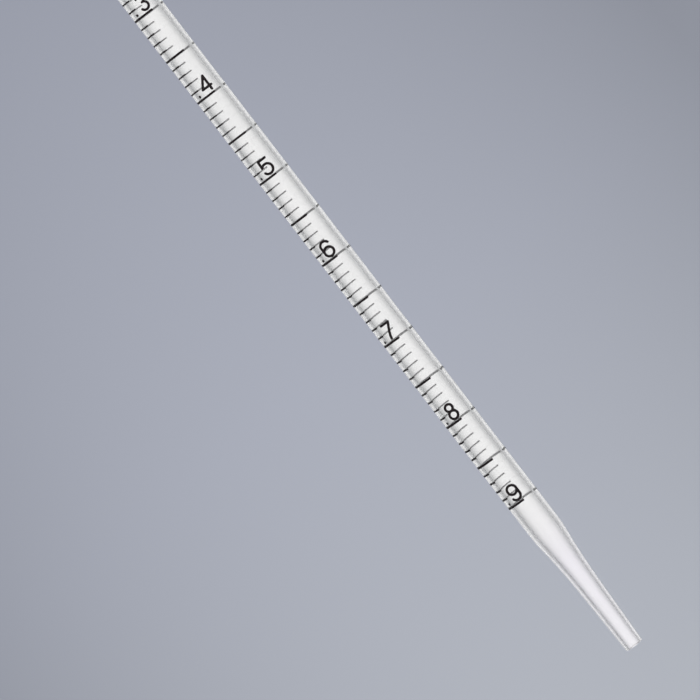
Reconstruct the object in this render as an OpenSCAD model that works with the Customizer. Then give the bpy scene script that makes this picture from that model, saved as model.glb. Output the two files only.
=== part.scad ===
// Serological pipette, 1 ml in 1/100 ml: one drawn polystyrene tube, its filter plug and its printed scale.
// Millimetres. The origin is the centre of the mouth rim, +Z points up out of the mouth, and the tip is
// below. The front, where the numerals are read, faces -Y.

/* [Barrel] */
// Length from the mouth rim to the end of the tip
overall_len = 270; // [250:1:300]
// Outside diameter of the straight tube
barrel_od = 4.48; // [4.3:0.02:4.8]
// Bore of the straight tube, which also sets the spacing of the marks
bore_d = 3.1; // [3.04:0.02:3.16]
// Rounding of the fire-polished mouth rim, inside and outside
rim_round = 0.3; // [0.1:0.05:0.35]

/* [Drawn tip] */
// Outside diameter at the tip end
tip_od = 2.52; // [2.4:0.02:2.6]
// Diameter of the tip's opening
orifice_d = 1.64; // [1.6:0.02:1.7]
// Length of the short parallel hole at the tip end
orifice_len = 1.5; // [1.2:0.1:2]
// Rounding of the outside edge at the tip end
tip_edge = 0.12; // [0.05:0.01:0.2]
// Length of the slim stem at the tip end
stem_len = 9.5; // [9:0.1:10]
// Angle of the stem's outside from the axis
stem_slope = 1.72; // [1.6:0.02:1.8]
// Angle of the stem's bore from the axis
bore_slope = 1.3; // [1.1:0.05:1.4]
// Radius of the concave sweep outside, from the stem up to the shoulder
sweep_round = 95; // [85:1:105]
// Radius of the soft shoulder outside
shoulder_round = 15; // [10:1:20]
// Radius of the concave sweep of the bore
bore_sweep_round = 110; // [100:1:120]
// Radius of the soft shoulder of the bore
bore_shoulder_round = 30; // [22:1:34]

/* [Filter plug] */
// Length of the fibre plug
plug_len = 14; // [8:1:20]
// Depth of the plug's top below the mouth rim
plug_depth = 5; // [3:0.5:8]
// Radial gap between the plug and the bore
plug_gap = 0.03; // [0.02:0.01:0.08]
// Rounding of the plug's ends
plug_round = 0.5; // [0.2:0.1:0.8]

/* [Printed scale] */
// Liquid that stays in the emptied tube as a film and a last drop, in cubic millimetres
left_behind = 8.9; // [5:0.1:12]
// Thickness of the ink
ink_thick = 0.04; // [0.03:0.005:0.045]
// Width of the long lines, at the tenths and the half tenths
line_w = 0.28; // [0.18:0.01:0.3]
// Width of the hundredth ticks
tick_w = 0.2; // [0.12:0.01:0.26]
// Angle from the front at which the long lines start, on the right
line_start = 15; // [5:1:20]
// Angle at which the long lines end, having run round the left and the back to the right
line_end = -262; // [-270:1:-240]
// Angle at which the ticks start, on the left of the numerals
tick_start = -31; // [-36:1:-26]
// Angle at which the ticks end, behind
tick_end = -173; // [-190:1:-110]
// Angle by which the print has wandered round the tube below the middle of the scale
wander = -12.5; // [-20:0.5:0]

/* [Numerals] */
// Height of a numeral
numeral_h = 2.42; // [2.3:0.01:2.5]
// Width of the pen that draws the numerals
pen_w = 0.34; // [0.2:0.01:0.36]
// Gap between a tenth line's middle and the numeral above it
numeral_lift = 0.27; // [0.25:0.01:0.35]
// Angle of a numeral's middle from the front
numeral_turn = 1; // [-4:1:4]
// Diameter of the decimal point
point_d = 0.36; // [0.2:0.01:0.4]
// Height of the decimal point above its line
point_lift = 0.5; // [0.45:0.01:0.8]
// Angle from a numeral's middle to its decimal point
point_turn = -42; // [-50:1:-38]

/* [Capacity colour band] */
// Width of the yellow band that codes the capacity
band_w = 5; // [3:0.5:8]
// Distance from the mouth rim to the band
band_drop = 30; // [25:1:60]

/* [Hidden] */
$fn = 96;

barrel_r = barrel_od / 2;
bore_r = bore_d / 2;
tip_r = tip_od / 2;
orifice_r = orifice_d / 2;
tip_z = -overall_len;
hole_top_z = tip_z + orifice_len;
stem_top_z = tip_z + stem_len;

arc_steps = 8;
joint_share = 0.96;
ink_black = [0.09, 0.07, 0.08];

// A mark stands for its volume of bore, in cubic millimetres.
tenth_volume = 100;
bore_area = PI * bore_r ^ 2;
mark_pitch = tenth_volume / 10 / bore_area;
last_tenth = 9;

// The print wanders round the tube between these two marks, in hundredths.
wander_from = 40;
wander_to = 64;

// Point at an angle on a circle.
function on_circle(centre, r, a) = centre + r * [cos(a), sin(a)];

// Points on an arc from one angle to another, without the first of them where it is there already.
function arc_points(centre, r, from, to, first = 0) =
    [for (i = [first : arc_steps]) on_circle(centre, r, from + (to - from) * i / arc_steps)];

// Outline of a wall that was drawn down while soft: from the stem's top up through a concave sweep and a
// convex shoulder to the full radius. The two arcs meet at one slope.
function drawn_wall(stem_r, slope, full_r, sweep, shoulder) =
    let(
        meet = acos((sweep * cos(slope) + shoulder - (full_r - stem_r)) / (sweep + shoulder)),
        bowl = [stem_r + sweep * cos(slope), stem_top_z - sweep * sin(slope)],
        crown = [full_r - shoulder, bowl[1] + (sweep + shoulder) * sin(meet)]
    )
    concat(
        arc_points(bowl, sweep, 180 - slope, 180 - meet),
        arc_points(crown, shoulder, -meet, 0, 1)
    );

function sum(list, i = 0) = i < len(list) ? list[i] + sum(list, i + 1) : 0;

// Volume inside an outline of radius and height when it is turned about the axis.
function turned_volume(points) =
    sum([
        for (i = [1 : len(points) - 1])
            let(a = points[i - 1], b = points[i])
            PI / 3 * (a[0] ^ 2 + a[0] * b[0] + b[0] ^ 2) * (b[1] - a[1])
    ]);

// The drawn part of the bore, and the height of the last line, below which a tenth of a millilitre runs out.
bore_stem_r = orifice_r + (stem_len - orifice_len) * tan(bore_slope);
drawn_bore = concat(
    [[orifice_r, tip_z], [orifice_r, hole_top_z]],
    drawn_wall(bore_stem_r, bore_slope, bore_r, bore_sweep_round, bore_shoulder_round)
);
drawn_top_z = drawn_bore[len(drawn_bore) - 1][1];
last_line_z = drawn_top_z + (tenth_volume + left_behind - turned_volume(drawn_bore)) / bore_area;

// Height of the line that stands for this many hundredths.
function mark_z(hundredths) = last_line_z + (last_tenth * 10 - hundredths) * mark_pitch;

// Angle by which the print has wandered at this many hundredths.
function turn_at(hundredths) =
    wander * max(0, min(1, (hundredths - wander_from) / (wander_to - wander_from)));

// Outside of the tube as a solid of revolution: tip edge, stem, sweep, shoulder, straight wall and rim.
module outside() {
    rotate_extrude()
    polygon(concat(
        [[0, tip_z], [tip_r - tip_edge, tip_z]],
        arc_points([tip_r - tip_edge, tip_z + tip_edge], tip_edge, -90, -stem_slope, 1),
        drawn_wall(tip_r + stem_len * tan(stem_slope), stem_slope, barrel_r, sweep_round, shoulder_round),
        arc_points([barrel_r - rim_round, -rim_round], rim_round, 0, 90),
        [[0, 0]]
    ));
}

// Bore as a solid of revolution: parallel hole, drawn bore, straight bore and flared mouth.
module bore() {
    past = 1;
    rotate_extrude()
    polygon(concat(
        [[0, tip_z - past], [orifice_r, tip_z - past]],
        [for (i = [1 : len(drawn_bore) - 1]) drawn_bore[i]],
        arc_points([bore_r + rim_round, -rim_round], rim_round, 180, 90),
        [[bore_r + rim_round, past], [0, past]]
    ));
}

module barrel() {
    color([0.93, 0.94, 0.95, 0.6])
    difference() {
        outside();
        bore();
    }
}

module filter_plug() {
    plug_r = bore_r - plug_gap;
    color("white")
    translate([0, 0, -plug_depth - plug_len])
    rotate_extrude()
    polygon(concat(
        [[0, 0]],
        arc_points([plug_r - plug_round, plug_round], plug_round, -90, 0),
        arc_points([plug_r - plug_round, plug_len - plug_round], plug_round, 0, 90),
        [[0, plug_len]]
    ));
}

// A printed band round part of the tube, between two angles measured from the front.
module ink_arc(z, w, from, to) {
    translate([0, 0, z - w / 2])
    rotate([0, 0, from - 90])
    rotate_extrude(angle = to - from)
    translate([barrel_r, 0])
    square([ink_thick, w]);
}

// A line or tick for this many hundredths.
module mark(hundredths, w, from, to) {
    turn = turn_at(hundredths);
    ink_arc(mark_z(hundredths), w, turn + from, turn + to);
}

module tenth_lines() {
    color(ink_black)
    for (n = [0 : last_tenth])
        mark(10 * n, line_w, line_end, line_start);
}

module half_tenth_lines() {
    color(ink_black)
    for (n = [0 : last_tenth - 1])
        mark(10 * n + 5, line_w, line_end, line_start);
}

module hundredth_ticks() {
    color(ink_black)
    for (n = [0 : last_tenth - 1], i = [1, 2, 3, 4, 6, 7, 8, 9])
        mark(10 * n + i, tick_w, tick_end, tick_start);
}

// Pen strokes, drawn flat with x to the right and y up. A path of one point is a dot. The dots that round the
// joints are a shade smaller than the pen, so that they don't just touch the strokes' edges.
module pen_path(points) {
    for (p = points)
        translate(p) circle(d = joint_share * pen_w);
    for (i = [1 : 1 : len(points) - 1]) {
        run = points[i] - points[i - 1];
        translate(points[i - 1])
        rotate(atan2(run[1], run[0]))
        translate([0, -pen_w / 2])
        square([norm(run), pen_w]);
    }
}

module pen_ring(centre, r) {
    translate(centre)
    difference() {
        circle(r = r + pen_w / 2);
        circle(r = r - pen_w / 2);
    }
}

module pen_arc(centre, r, from, to) {
    reach = 2 * (r + pen_w);
    intersection() {
        pen_ring(centre, r);
        polygon(concat([centre], arc_points(centre, reach, from, to)));
    }
}

// The ten digits, each in a cell as high as numeral_h whose bottom middle is the origin. Round digits reach a
// little past the cell, so that they look as tall as the others.
module digit(n) {
    low = pen_w / 2;
    top = numeral_h - pen_w / 2;
    past = 0.03;
    crest = top + past;
    trough = low - past;
    side = 0.64;
    if (n == 0) {
        r = 0.6;
        pen_arc([0, crest - r], r, 0, 180);
        pen_arc([0, trough + r], r, 180, 360);
        for (x = [-r, r])
            pen_path([[x, trough + r], [x, crest - r]]);
    }
    if (n == 1)
        pen_path([[-0.32, top - 0.42], [0.1, top], [0.1, low]]);
    if (n == 2) {
        r = 0.6;
        turn = -40;
        bowl = [0, crest - r];
        pen_arc(bowl, r, turn, 165);
        pen_path([on_circle(bowl, r, 165)]);
        pen_path([on_circle(bowl, r, turn), [-0.6, low], [side, low]]);
    }
    if (n == 3) {
        upper = 0.52;
        lower = (crest - trough) / 2 - upper;
        pen_arc([0, crest - upper], upper, -90, 155);
        pen_arc([0, trough + lower], lower, -155, 90);
        pen_path([on_circle([0, crest - upper], upper, 155)]);
        pen_path([on_circle([0, trough + lower], lower, -155)]);
        pen_path([[0, crest - 2 * upper]]);
    }
    if (n == 4) {
        bar = 0.7;
        stem = 0.4;
        pen_path([[stem, low], [stem, top], [-0.68, bar], [0.68, bar]]);
    }
    if (n == 5) {
        r = 0.7;
        hook = 145;
        bowl = [0, trough + r];
        pen_path([[0.56, top], [-0.52, top], on_circle(bowl, r, hook)]);
        pen_arc(bowl, r, -154, hook);
        pen_path([on_circle(bowl, r, -154)]);
    }
    if (n == 6)
        translate([0, numeral_h]) rotate(180) digit(9);
    if (n == 7)
        pen_path([[-0.37, low], [-0.28, 0.55], [-0.05, 1.1], [0.56, top], [-0.56, top]]);
    if (n == 8) {
        upper = 0.5;
        lower = (crest - trough) / 2 - upper;
        pen_ring([0, crest - upper], upper);
        pen_ring([0, trough + lower], lower);
    }
    if (n == 9) {
        pen_ring([0, crest - side], side);
        pen_path([[side, trough + side], [side, crest - side]]);
        pen_arc([0, trough + side], side, 205, 360);
        pen_path([on_circle([0, trough + side], side, 205)]);
    }
}

// Lays a flat drawing on the front of the tube as a film of ink, turned round by an angle.
module printed_at(turn, z) {
    reach = 10;
    rotate([0, 0, turn])
    translate([0, 0, z])
    intersection() {
        rotate([90, 0, 0]) linear_extrude(barrel_r + 1) children();
        difference() {
            cylinder(r = barrel_r + ink_thick, h = reach, center = true);
            cylinder(r = barrel_r, h = 2 * reach, center = true);
        }
    }
}

// A numeral over its tenth line, with the decimal point of every numeral but nought.
module numeral(n) {
    turn = numeral_turn + turn_at(10 * n);
    z = mark_z(10 * n);
    color(ink_black) {
        printed_at(turn, z) translate([0, numeral_lift]) digit(n);
        if (n > 0)
            printed_at(turn + point_turn, z) translate([0, point_lift]) circle(d = point_d);
    }
}

module capacity_band() {
    color("gold")
    translate([0, 0, -band_drop - band_w])
    rotate_extrude()
    translate([barrel_r, 0])
    square([ink_thick, band_w]);
}

barrel();
filter_plug();
tenth_lines();
half_tenth_lines();
hundredth_ticks();
for (n = [0 : last_tenth])
    numeral(n);
capacity_band();
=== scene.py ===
"""Looks of a 1 ml serological pipette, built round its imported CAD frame.

The tube, its print and its plug are rebuilt here as smooth meshes from the frame's own rings and islands.
Metres; the tube's axis is Z, its tip is at -Z, and the numerals face -Y.
"""

import math
import random

import bpy
from mathutils import Matrix, Vector, noise


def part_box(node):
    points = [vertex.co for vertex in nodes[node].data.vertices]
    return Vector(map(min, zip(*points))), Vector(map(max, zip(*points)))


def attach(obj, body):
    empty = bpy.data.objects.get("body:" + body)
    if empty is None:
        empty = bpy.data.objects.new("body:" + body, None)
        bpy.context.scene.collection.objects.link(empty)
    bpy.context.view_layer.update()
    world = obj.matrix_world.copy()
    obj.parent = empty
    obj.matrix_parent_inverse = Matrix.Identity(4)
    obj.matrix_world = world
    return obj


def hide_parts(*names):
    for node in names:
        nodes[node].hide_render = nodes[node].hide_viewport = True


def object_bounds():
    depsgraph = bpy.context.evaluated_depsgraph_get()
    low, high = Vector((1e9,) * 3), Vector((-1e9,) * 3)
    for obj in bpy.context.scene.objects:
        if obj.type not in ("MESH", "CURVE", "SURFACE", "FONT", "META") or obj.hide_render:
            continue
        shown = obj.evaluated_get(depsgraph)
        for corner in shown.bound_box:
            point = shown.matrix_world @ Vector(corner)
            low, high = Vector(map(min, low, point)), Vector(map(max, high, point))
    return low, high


MM = 0.001

# Tube and print: steps of their meshes, the drawn tip's lean, and the ink's gap, round ends and rough edges
TUBE_TURNS = 192
TUBE_STEP = 5.0 * MM
TIP_SWAY = 0.08 * MM
CURVE_PARTS = 4
CORNER = math.radians(25)
SHARP = math.radians(40)
FILM_STEP = math.radians(2)
FILM_GAP = 0.002 * MM
FILM_ROUND = 0.5
FILM_ROUGH = 0.02 * MM

# Cast of the plastic: the colour it's multiplied by, from the tip end up past the shoulder
CAST_HEIGHT = 25 * MM
CAST_COLOURS = [
    (0.0, (1.006, 1.0, 1.02)),
    (0.55, (1.003, 0.993, 1.022)),
    (0.8, (1.008, 1.004, 1.012)),
    (1.0, (1, 1, 1)),
]

# Plug: a wad squeezed by the bore, whose side takes this share of its outline, and the loose fibres on it
PLUG_TURNS = 120
PLUG_RINGS = 110
PLUG_SIDE = 0.86
PLUG_ROUND = 0.45 * MM
PLUG_DOME = 0.38 * MM
PLUG_FIBRES = 420
PLUG_END_FIBRES = 0.35
FIBRE_R = 0.011 * MM
FIBRE_PARTS = 8
FIBRE_SIDES = 5

# Camera: it stands level with this many tenths of the scale and looks a little down at the drawn tip
CAMERA_DISTANCE = 0.82
CAMERA_TENTHS = 4.4
FRAME_WIDTH = 90.49 * MM
SENSOR = 36.0
ROLL = math.radians(37.5)
AIM_LEFT = 6.0 * MM
AIM_HEIGHT = 53.08 * MM

# Light: degrees round from straight behind, and the level there on the right and on the left
LIGHT_LEVELS = (
    (0, 1.05, 1.05),
    (8, 1.03, 1.03),
    (14, 0.92, 0.92),
    (20, 0.82, 0.82),
    (30, 0.68, 0.66),
    (45, 0.53, 0.46),
    (70, 0.49, 0.41),
    (100, 0.60, 0.54),
    (125, 0.91, 0.83),
    (180, 1.0, 1.0),
)
BEHIND = 90
COOLNESS = 0.03

# Stage: a round sweep, its colours from low to high, darker upwards as painted shade, and the painted shade
# that dims it to the sides
STAGE_RADIUS = 8.0
STAGE_BEND = 2.5
STAGE_HEIGHT = 9.0
STAGE_DROP = 1.4
STAGE_LOW = -1.2
STAGE_HIGH = 0.15
STAGE_COLOURS_PAINTED_SHADE = [(0.0, (0.552, 0.578, 0.634)), (0.5, (0.462, 0.486, 0.567)), (1.0, (0.353, 0.372, 0.443))]
STAGE_PAINTED_DIM_WIDTH = 0.65
STAGE_PAINTED_DIM_LEFT = 0.17
STAGE_PAINTED_DIM = 0.3
STAGE_TURNS = 128

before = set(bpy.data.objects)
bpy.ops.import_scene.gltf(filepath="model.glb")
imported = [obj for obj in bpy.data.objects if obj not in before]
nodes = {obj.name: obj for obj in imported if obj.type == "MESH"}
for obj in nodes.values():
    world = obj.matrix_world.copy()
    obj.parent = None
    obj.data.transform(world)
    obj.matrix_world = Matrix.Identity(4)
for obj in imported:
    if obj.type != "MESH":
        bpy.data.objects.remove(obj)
cad_low, cad_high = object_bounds()


# ---------------------------------------------------------------- measuring the frame


def turned_rings(node, facing):
    """Radius and height of the rings of a turned node's walls, from the top down.

    facing is 1 for the walls that face out and -1 for those that face in.
    """
    mesh = nodes[node].data
    rings = {}
    for face in mesh.polygons:
        out = Vector((face.center.x, face.center.y, 0)).normalized()
        if facing * face.normal.dot(out) < 0.02:
            continue
        for index in face.vertices:
            x, y, z = mesh.vertices[index].co
            rings[round(z, 5)] = (math.hypot(x, y), z)
    return sorted(rings.values(), key=lambda ring: -ring[1])


def islands(node):
    """The separate solids of a node, each as the list of its points."""
    mesh = nodes[node].data
    place = {}
    same = [place.setdefault(tuple(round(c, 7) for c in v.co), v.index) for v in mesh.vertices]
    parent = {index: index for index in set(same)}

    def root(index):
        while parent[index] != index:
            parent[index] = parent[parent[index]]
            index = parent[index]
        return index

    for edge in mesh.edges:
        a, b = (root(same[i]) for i in edge.vertices)
        parent[a] = b
    groups = {}
    for index in parent:
        groups.setdefault(root(index), []).append(mesh.vertices[index].co.copy())
    return list(groups.values())


def arc_of(points):
    """The angles from the front between which points on the tube lie, and their lowest and highest height."""
    turns = sorted(math.atan2(p.x, -p.y) for p in points)
    gaps = [(turns[i] - turns[i - 1]) % (2 * math.pi) for i in range(len(turns))]
    widest = max(range(len(gaps)), key=gaps.__getitem__)
    start = turns[widest]
    end = start + 2 * math.pi - gaps[widest]
    heights = [p.z for p in points]
    return start, end, min(heights), max(heights)


# ---------------------------------------------------------------- mesh builders


def new_piece(name, vertices, faces, material, sharp=None):
    """A smooth-shaded mesh object with one material."""
    mesh = bpy.data.meshes.new(name)
    mesh.from_pydata(vertices, [], faces)
    mesh.materials.append(material)
    mesh.polygons.foreach_set("use_smooth", [True] * len(mesh.polygons))
    if sharp is not None:
        mesh.set_sharp_from_angle(angle=sharp)
    mesh.update()
    piece = bpy.data.objects.new(name, mesh)
    bpy.context.scene.collection.objects.link(piece)
    return piece


def smoothed(outline, step):
    """The closed outline with points added: curves run smoothly through them, and corners stay sharp."""
    points = [Vector(point) for point in outline]
    count = len(points)
    ways = [(points[(i + 1) % count] - points[i]).normalized() for i in range(count)]
    tangents = []
    for i in range(count):
        along = (points[(i + 1) % count] - points[i - 1]).normalized()
        corner = ways[i - 1].angle(ways[i]) > CORNER
        tangents.append((ways[i - 1], ways[i]) if corner else (along, along))
    result = []
    for i in range(count):
        a, b = points[i], points[(i + 1) % count]
        length = (b - a).length
        leave, arrive = tangents[i][1] * length, tangents[(i + 1) % count][0] * length
        bent = (leave - arrive).length > 0.005 * length
        parts = max(CURVE_PARTS if bent else 1, math.ceil(length / step))
        for k in range(parts):
            t = k / parts
            spot = a * (2 * t**3 - 3 * t**2 + 1) + b * (3 * t**2 - 2 * t**3)
            result.append(tuple(spot + leave * (t**3 - 2 * t**2 + t) + arrive * (t**3 - t**2)))
    return result


def turned(name, outline, turns, material, centre=lambda r, z: (0, 0)):
    """A closed ring of a mesh: an outline of radius and height, turned round Z."""
    vertices, faces = [], []
    count = len(outline)
    for r, z in outline:
        cx, cy = centre(r, z)
        for turn in range(turns):
            angle = 2 * math.pi * turn / turns
            vertices.append((cx + r * math.cos(angle), cy + r * math.sin(angle), z))
    for i in range(count):
        ring, below = i * turns, (i + 1) % count * turns
        for turn in range(turns):
            beside = (turn + 1) % turns
            faces.append((ring + turn, below + turn, below + beside, ring + beside))
    return new_piece(name, vertices, faces, material, SHARP)


def on_tube(r, turn, z):
    """A point at an angle from the front, positive towards +X."""
    return (r * math.sin(turn), -r * math.cos(turn), z)


def film(name, arcs, inner, outer, material):
    """Ink lines wrapped round the tube, with round ends and uneven edges. An arc is (from, to, low, high)."""
    vertices, faces = [], []
    for start, end, low, high in arcs:
        middle = (low + high) / 2
        half = (high - low) / 2
        round_turn = FILM_ROUND * half / inner
        columns = max(6, math.ceil((end - start) / FILM_STEP))
        turns = [start + (end - start) * i / columns for i in range(columns + 1)]
        for edge, way in ((start, 1), (end, -1)):
            turns += [edge + way * round_turn * k for k in (0.03, 0.13, 0.3, 0.6)]
        turns.sort()
        base = len(vertices)
        for turn in turns:
            into = min(turn - start, end - turn, round_turn) / round_turn
            width = half * max(0.12, math.sqrt(max(0.0, 1 - (1 - into) ** 2)))
            rough = FILM_ROUGH * noise.noise(Vector((turn * 9, middle * 3000, 0)))
            rough_low = FILM_ROUGH * noise.noise(Vector((turn * 9, middle * 3000, 5)))
            top, bottom = middle + width + rough, middle - width + rough_low
            for r, z in ((inner, bottom), (outer, bottom), (outer, top), (inner, top)):
                vertices.append(on_tube(r, turn, z))
        for i in range(len(turns) - 1):
            a, b = base + 4 * i, base + 4 * (i + 1)
            for k in range(4):
                k2 = (k + 1) % 4
                faces.append((a + k, b + k, b + k2, a + k2))
        last = base + 4 * (len(turns) - 1)
        faces.append((base + 3, base + 2, base + 1, base))
        faces.append((last, last + 1, last + 2, last + 3))
    return new_piece(name, vertices, faces, material, SHARP)


# ---------------------------------------------------------------- materials


class Nodes:
    """Short forms for building a material's node tree."""

    def __init__(self, name):
        self.material = bpy.data.materials.new(name)
        self.material.use_nodes = True
        self.tree = self.material.node_tree
        self.shader = self.tree.nodes["Principled BSDF"]
        self.place = self.add("ShaderNodeTexCoord").outputs["Object"]

    def add(self, kind, **settings):
        node = self.tree.nodes.new(kind)
        for key, value in settings.items():
            setattr(node, key, value)
        return node

    def link(self, source, target):
        self.tree.links.new(source, target)

    def set(self, **values):
        for key, value in values.items():
            self.shader.inputs[key.replace("_", " ")].default_value = value

    def noise(self, scale, stretch=(1, 1, 1), detail=3.0, roughness=0.5):
        """Noise with about this many features per metre, drawn out where stretch is under 1."""
        mapping = self.add("ShaderNodeMapping")
        mapping.inputs["Scale"].default_value = [scale * s for s in stretch]
        self.link(self.place, mapping.inputs["Vector"])
        texture = self.add("ShaderNodeTexNoise")
        texture.inputs["Scale"].default_value = 1.0
        texture.inputs["Detail"].default_value = detail
        texture.inputs["Roughness"].default_value = roughness
        self.link(mapping.outputs["Vector"], texture.inputs["Vector"])
        return texture.outputs["Fac"]

    def ramp(self, source, stops):
        """A colour ramp: stops are (position, colour)."""
        node = self.add("ShaderNodeValToRGB")
        ramp = node.color_ramp
        while len(ramp.elements) < len(stops):
            ramp.elements.new(0.5)
        for element, (position, colour) in zip(ramp.elements, stops):
            element.position = position
            element.color = (*colour, 1)
        self.link(source, node.inputs["Fac"])
        return node.outputs["Color"]

    def range(self, source, low, high):
        """source, from 0.3 to 0.7, as a number from low to high."""
        node = self.add("ShaderNodeMapRange")
        node.inputs["From Min"].default_value = 0.3
        node.inputs["From Max"].default_value = 0.7
        node.inputs["To Min"].default_value = low
        node.inputs["To Max"].default_value = high
        self.link(source, node.inputs["Value"])
        return node.outputs["Result"]

    def bump(self, source, height, before=None):
        """Bump of this many metres, on top of another one."""
        node = self.add("ShaderNodeBump")
        node.inputs["Strength"].default_value = 1.0
        node.inputs["Distance"].default_value = height
        self.link(source, node.inputs["Height"])
        if before is not None:
            self.link(before, node.inputs["Normal"])
        return node.outputs["Normal"]


def clear_polystyrene():
    """Clear glossy plastic: a slight milky haze, a violet cast in the drawn tip, and fine drawing lines."""
    n = Nodes("clear_polystyrene")
    n.set(IOR=1.59, Transmission_Weight=0.92)
    cloud = n.noise(260, (1, 1, 0.25), detail=4)
    milk = n.ramp(cloud, [(0.3, (0.95, 0.948, 0.948)), (0.7, (0.985, 0.983, 0.983))])
    split = n.add("ShaderNodeSeparateXYZ")
    n.link(n.place, split.inputs["Vector"])
    drawn = n.add("ShaderNodeMapRange")
    drawn.inputs["From Min"].default_value = cad_low.z
    drawn.inputs["From Max"].default_value = cad_low.z + CAST_HEIGHT
    n.link(split.outputs["Z"], drawn.inputs["Value"])
    cast = n.ramp(drawn.outputs["Result"], CAST_COLOURS)
    tint = n.add("ShaderNodeVectorMath", operation="MULTIPLY")
    n.link(milk, tint.inputs[0])
    n.link(cast, tint.inputs[1])
    n.link(tint.outputs["Vector"], n.shader.inputs["Base Color"])
    n.link(n.range(n.noise(900, (1, 1, 0.1)), 0.02, 0.07), n.shader.inputs["Roughness"])
    draw_lines = n.bump(n.noise(2600, (1, 1, 0.012), detail=2), 0.0012 * MM)
    n.link(n.bump(n.noise(1400), 0.0006 * MM, draw_lines), n.shader.inputs["Normal"])
    return n.material


def printed_ink(name, dark, light, gloss):
    """Screen-printed ink: uneven in depth, with a fine grain."""
    n = Nodes(name)
    n.set(Specular_IOR_Level=0.2)
    patches = n.noise(2500, detail=5, roughness=0.6)
    n.link(n.ramp(patches, [(0.32, dark), (0.68, light)]), n.shader.inputs["Base Color"])
    n.link(n.range(n.noise(6000), gloss - 0.08, gloss + 0.12), n.shader.inputs["Roughness"])
    n.link(n.bump(n.noise(12000, detail=2), 0.004 * MM), n.shader.inputs["Normal"])
    return n.material


def plug_fibre():
    """White fibre, a little creamier between the strands."""
    n = Nodes("plug_fibre")
    n.set(Roughness=0.92, Sheen_Weight=0.4, Sheen_Roughness=0.5, Subsurface_Weight=0.25)
    n.shader.inputs["Subsurface Radius"].default_value = (1, 1, 1)
    n.set(Subsurface_Scale=0.3 * MM)
    strands = n.noise(3500, (1, 1, 0.15), detail=4)
    white = n.ramp(strands, [(0.3, (0.86, 0.85, 0.81)), (0.62, (0.965, 0.962, 0.95))])
    n.link(white, n.shader.inputs["Base Color"])
    n.link(n.bump(n.noise(9000, (1, 1, 0.2), detail=4), 0.03 * MM), n.shader.inputs["Normal"])
    return n.material


polystyrene = clear_polystyrene()
black_ink = printed_ink("scale_ink", (0.004, 0.002, 0.003), (0.014, 0.008, 0.010), 0.55)
yellow_ink = printed_ink("band_ink", (0.78, 0.5, 0.02), (0.9, 0.66, 0.05), 0.4)
white_fibre = plug_fibre()


# ---------------------------------------------------------------- the pieces


def build_tube():
    outside = turned_rings("barrel", 1)
    bore = turned_rings("barrel", -1)
    outline = smoothed(outside + bore[::-1], TUBE_STEP)
    full = max(r for r, z in outside)
    shoulder = min(z for r, z in outside if r > 0.999 * full)
    length = shoulder - cad_low.z

    def sway(r, z):
        """The drawn tip leans a hair to the left."""
        below = max(0.0, shoulder - z) / length
        return -TIP_SWAY * below**1.5, 0.0

    tube = turned("tube", outline, TUBE_TURNS, polystyrene, sway)
    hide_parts("barrel")
    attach(tube, "barrel")


def build_print():
    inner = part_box("barrel")[1].x + FILM_GAP
    outer = cad_high.x
    for node in ("tenth_lines", "half_tenth_lines", "hundredth_ticks"):
        arcs = [arc_of(points) for points in islands(node)]
        lines = film(node + "_print", arcs, inner, outer, black_ink)
        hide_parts(node)
        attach(lines, "barrel")
    for name, node in nodes.items():
        if name.startswith("numeral_"):
            node.data.materials[0] = black_ink


def build_band():
    low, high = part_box("capacity_band")
    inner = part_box("barrel")[1].x + FILM_GAP
    outline = [(high.x, high.z), (high.x, low.z), (inner, low.z), (inner, high.z)]
    band = turned("capacity_band_print", smoothed(outline, 0.4 * MM), TUBE_TURNS, yellow_ink)
    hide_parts("capacity_band")
    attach(band, "barrel")


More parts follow.
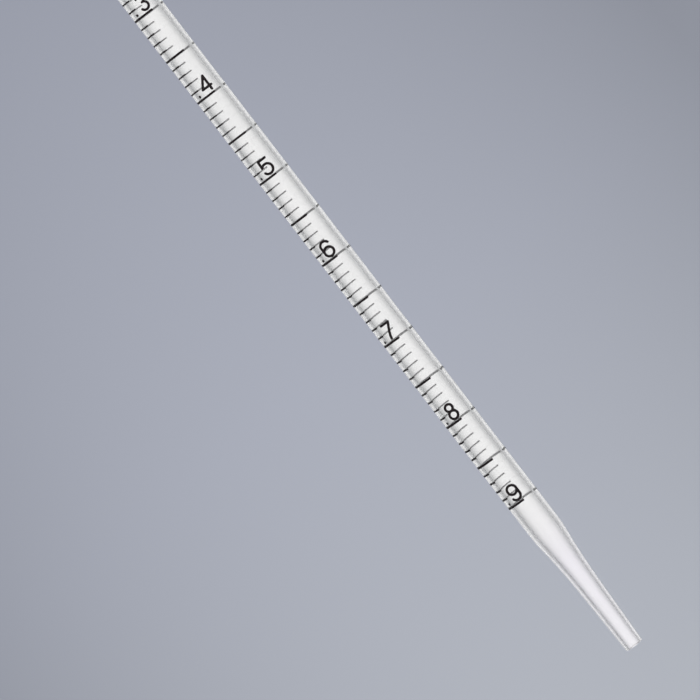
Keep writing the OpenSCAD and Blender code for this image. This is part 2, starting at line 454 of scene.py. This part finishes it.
def build_plug():
    """A wad of fibre in the bore: a body squeezed into folds, with loose fibres over it and at its ends."""
    low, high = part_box("filter_plug")
    radius = high.x
    middle = (low.z + high.z) / 2
    half = (high.z - low.z) / 2
    rng = random.Random(7)

    def surface(turn, share):
        """A point of the wad: share runs from -1 at the bottom end's middle to 1 at the top end's."""
        inward = max(0.0, (abs(share) - PLUG_SIDE) / (1 - PLUG_SIDE))
        spread = math.sqrt(max(0.0, 1 - inward**2.6))
        x, y = math.cos(turn), math.sin(turn)
        side = half - PLUG_ROUND
        z = share / PLUG_SIDE * side if abs(share) < PLUG_SIDE else math.copysign(side, share)
        z += math.copysign(PLUG_DOME * math.sqrt(1 - (1 - inward) ** 2), share) if inward else 0
        folds = noise.noise(Vector((x * 2.4, y * 2.4, z / MM * 0.16)))
        tufts = noise.noise(Vector((x * 7, y * 7, z / MM * 0.9)))
        curl = noise.noise(Vector((x * 22 * spread, y * 22 * spread, z / MM * 2.2)))
        r = radius * spread - spread * MM * (0.05 + 0.05 * folds + 0.035 * tufts + 0.015 * curl)
        heap = noise.noise(Vector((x * spread * 3.1, y * spread * 3.1, share * 4)))
        grain = noise.noise(Vector((x * spread * 11, y * spread * 11, share * 9)))
        z += inward * MM * (0.05 * heap + 0.03 * grain)
        return Vector((min(r, radius) * x, min(r, radius) * y, middle + z))

    vertices, faces = [], []
    for ring in range(PLUG_RINGS + 1):
        share = math.sin(math.pi * (ring / PLUG_RINGS - 0.5)) * 0.3 + (2 * ring / PLUG_RINGS - 1) * 0.7
        share = max(-0.9995, min(0.9995, share))
        vertices += [tuple(surface(2 * math.pi * t / PLUG_TURNS, share)) for t in range(PLUG_TURNS)]
    for ring in range(PLUG_RINGS):
        for t in range(PLUG_TURNS):
            a, b = ring * PLUG_TURNS + t, ring * PLUG_TURNS + (t + 1) % PLUG_TURNS
            faces.append((a, b, b + PLUG_TURNS, a + PLUG_TURNS))
    for ring, order in ((0, -1), (PLUG_RINGS, 1)):
        faces.append(tuple(ring * PLUG_TURNS + t for t in range(PLUG_TURNS))[::order])

    for _ in range(PLUG_FIBRES):
        at_end = rng.random() < PLUG_END_FIBRES
        share = rng.choice((-1, 1)) * rng.uniform(0.9, 0.99) if at_end else rng.uniform(-PLUG_SIDE, PLUG_SIDE)
        turn = rng.uniform(0, 2 * math.pi)
        length = rng.uniform(0.5, 1.6) if at_end else rng.uniform(1.2, 4.0)
        lean = rng.gauss(0, 0.35)
        lift = rng.uniform(0.0, 0.35) if at_end else 0.0
        path = []
        for k in range(FIBRE_PARTS + 1):
            t = k / FIBRE_PARTS
            wave = 0.12 * math.sin(7 * t + 9 * turn)
            if at_end:
                base = surface(turn + (lean + wave) * t * 2, math.copysign(abs(share) - 0.06 * t, share))
                spot = base + Vector((0, 0, math.copysign(lift * t * (1 - 0.4 * t) * MM, share)))
            else:
                spot = surface(turn + lean * t * length / 3 + wave, share + (t - 0.5) * length * MM / half)
                spot += Vector((spot.x, spot.y, 0)).normalized() * 0.012 * MM
            flat = math.hypot(spot.x, spot.y)
            if flat > radius:
                spot.x, spot.y = spot.x * radius / flat, spot.y * radius / flat
            path.append(spot)
        add_fibre(vertices, faces, path, FIBRE_R * rng.uniform(0.7, 1.3))
    plug = new_piece("filter_plug_wad", vertices, faces, white_fibre)
    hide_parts("filter_plug")
    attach(plug, "plug")


def add_fibre(vertices, faces, path, r):
    """A thin closed tube along a path, tapered at its ends."""
    sides = FIBRE_SIDES
    base = len(vertices)
    for k, spot in enumerate(path):
        way = (path[min(k + 1, len(path) - 1)] - path[max(k - 1, 0)]).normalized()
        side = way.orthogonal().normalized()
        up = way.cross(side)
        width = r * (0.35 if k in (0, len(path) - 1) else 1)
        for n in range(sides):
            a = 2 * math.pi * n / sides
            vertices.append(tuple(spot + (side * math.cos(a) + up * math.sin(a)) * width))
    for k in range(len(path) - 1):
        for n in range(sides):
            a, b = base + k * sides + n, base + k * sides + (n + 1) % sides
            faces.append((a, b, b + sides, a + sides))
    last = base + (len(path) - 1) * sides
    faces.append(tuple(base + n for n in range(sides))[::-1])
    faces.append(tuple(last + n for n in range(sides)))


build_tube()
build_print()
build_band()
build_plug()


# ---------------------------------------------------------------- stage, light and camera


def build_stage():
    """A round studio sweep: a flat pale floor that curves up into a wall, its colour painted with shade that
    darkens it upwards and to the sides.
    """
    floor = cad_low.z - STAGE_DROP
    bend = [
        (
            STAGE_RADIUS - STAGE_BEND + STAGE_BEND * math.sin(math.radians(a)),
            floor + STAGE_BEND - STAGE_BEND * math.cos(math.radians(a)),
        )
        for a in range(0, 91, 5)
    ]
    outline = [(0.001, floor), (STAGE_RADIUS / 3, floor)] + bend + [(STAGE_RADIUS, floor + STAGE_HEIGHT)]
    turns = STAGE_TURNS
    vertices = [
        (r * math.cos(2 * math.pi * t / turns), r * math.sin(2 * math.pi * t / turns), z)
        for r, z in outline
        for t in range(turns)
    ]
    faces = [
        (i * turns + t, i * turns + (t + 1) % turns, (i + 1) * turns + (t + 1) % turns, (i + 1) * turns + t)
        for i in range(len(outline) - 1)
        for t in range(turns)
    ]
    n = Nodes("stage_paper_painted_shade")
    n.set(Roughness=0.95)
    split = n.add("ShaderNodeSeparateXYZ")
    n.link(n.place, split.inputs["Vector"])
    share = n.add("ShaderNodeMapRange")
    share.inputs["From Min"].default_value = STAGE_LOW
    share.inputs["From Max"].default_value = STAGE_HIGH
    n.link(split.outputs["Z"], share.inputs["Value"])
    # Painted shade: the paper's colour is ramped darker from low to high.
    paper_painted_shade = n.ramp(share.outputs["Result"], STAGE_COLOURS_PAINTED_SHADE)
    # Painted shade: the colour dims to the sides, away from a centre a little left of the axis.
    offset = n.add("ShaderNodeMath", operation="MULTIPLY_ADD")
    offset.inputs[1].default_value = 1 / STAGE_PAINTED_DIM_WIDTH
    offset.inputs[2].default_value = STAGE_PAINTED_DIM_LEFT
    n.link(split.outputs["X"], offset.inputs[0])
    square = n.add("ShaderNodeMath", operation="MULTIPLY")
    n.link(offset.outputs[0], square.inputs[0])
    n.link(offset.outputs[0], square.inputs[1])
    painted_dim = n.add("ShaderNodeMapRange")
    painted_dim.inputs["To Min"].default_value = 1.0
    painted_dim.inputs["To Max"].default_value = 1.0 - STAGE_PAINTED_DIM
    n.link(square.outputs[0], painted_dim.inputs["Value"])
    scale = n.add("ShaderNodeVectorMath", operation="SCALE")
    n.link(paper_painted_shade, scale.inputs[0])
    n.link(painted_dim.outputs["Result"], scale.inputs["Scale"])
    n.link(scale.outputs["Vector"], n.shader.inputs["Base Color"])
    stage = new_piece("stage", vertices, faces, n.material)
    for ray in ("diffuse", "glossy", "transmission", "volume_scatter", "shadow"):
        setattr(stage, "visible_" + ray, False)


def build_light():
    """Soft light from all round: a white screen behind, a wide one in front, and dimmer, cooler sides."""
    world = bpy.data.worlds.new("studio")
    bpy.context.scene.world = world
    world.use_nodes = True
    tree = world.node_tree
    background = tree.nodes["Background"]
    way = tree.nodes.new("ShaderNodeTexCoord").outputs["Generated"]
    round_turn = tree.nodes.new("ShaderNodeTexGradient")
    round_turn.gradient_type = "RADIAL"
    tree.links.new(way, round_turn.inputs["Vector"])
    ramp = tree.nodes.new("ShaderNodeValToRGB")
    tree.links.new(round_turn.outputs["Fac"], ramp.inputs["Fac"])
    tree.links.new(ramp.outputs["Color"], background.inputs["Color"])
    stops = set()
    for away, right, left in LIGHT_LEVELS:
        stops.add((((BEHIND - away) / 360 + 0.5) % 1, right))
        stops.add((((BEHIND + away) / 360 + 0.5) % 1, left))
    elements = ramp.color_ramp.elements
    while len(elements) < len(stops):
        elements.new(0.5)
    for element, (position, level) in zip(elements, sorted(stops)):
        cool = COOLNESS * max(0, 1 - level)
        element.position = position
        element.color = (level * (1 - cool), level, level * (1 + cool), 1)


def build_camera():
    lines = sorted(((a[2] + a[3]) / 2 for a in map(arc_of, islands("tenth_lines"))), reverse=True)
    pitch = (lines[0] - lines[-1]) / (len(lines) - 1)
    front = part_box("barrel")[0].y
    place = Vector((0, front - CAMERA_DISTANCE, lines[0] - CAMERA_TENTHS * pitch))
    aim = Vector((-AIM_LEFT, front, cad_low.z + AIM_HEIGHT))
    back = (place - aim).normalized()
    up = Vector((math.sin(ROLL), 0, math.cos(ROLL)))
    right = up.cross(back).normalized()
    up = back.cross(right)
    turn = Matrix((right, up, back)).transposed()
    data = bpy.data.cameras.new("camera")
    data.sensor_width = SENSOR
    data.lens = SENSOR * (place - aim).length / FRAME_WIDTH
    data.clip_start = 0.05
    data.clip_end = 60
    camera = bpy.data.objects.new("camera", data)
    camera.matrix_world = Matrix.Translation(place) @ turn.to_4x4()
    bpy.context.scene.collection.objects.link(camera)
    bpy.context.scene.camera = camera


def build_render_settings():
    scene = bpy.context.scene
    scene.view_settings.view_transform = "Standard"
    scene.cycles.max_bounces = 32
    scene.cycles.transmission_bounces = 32
    scene.cycles.glossy_bounces = 16


build_stage()
build_light()
build_camera()
build_render_settings()
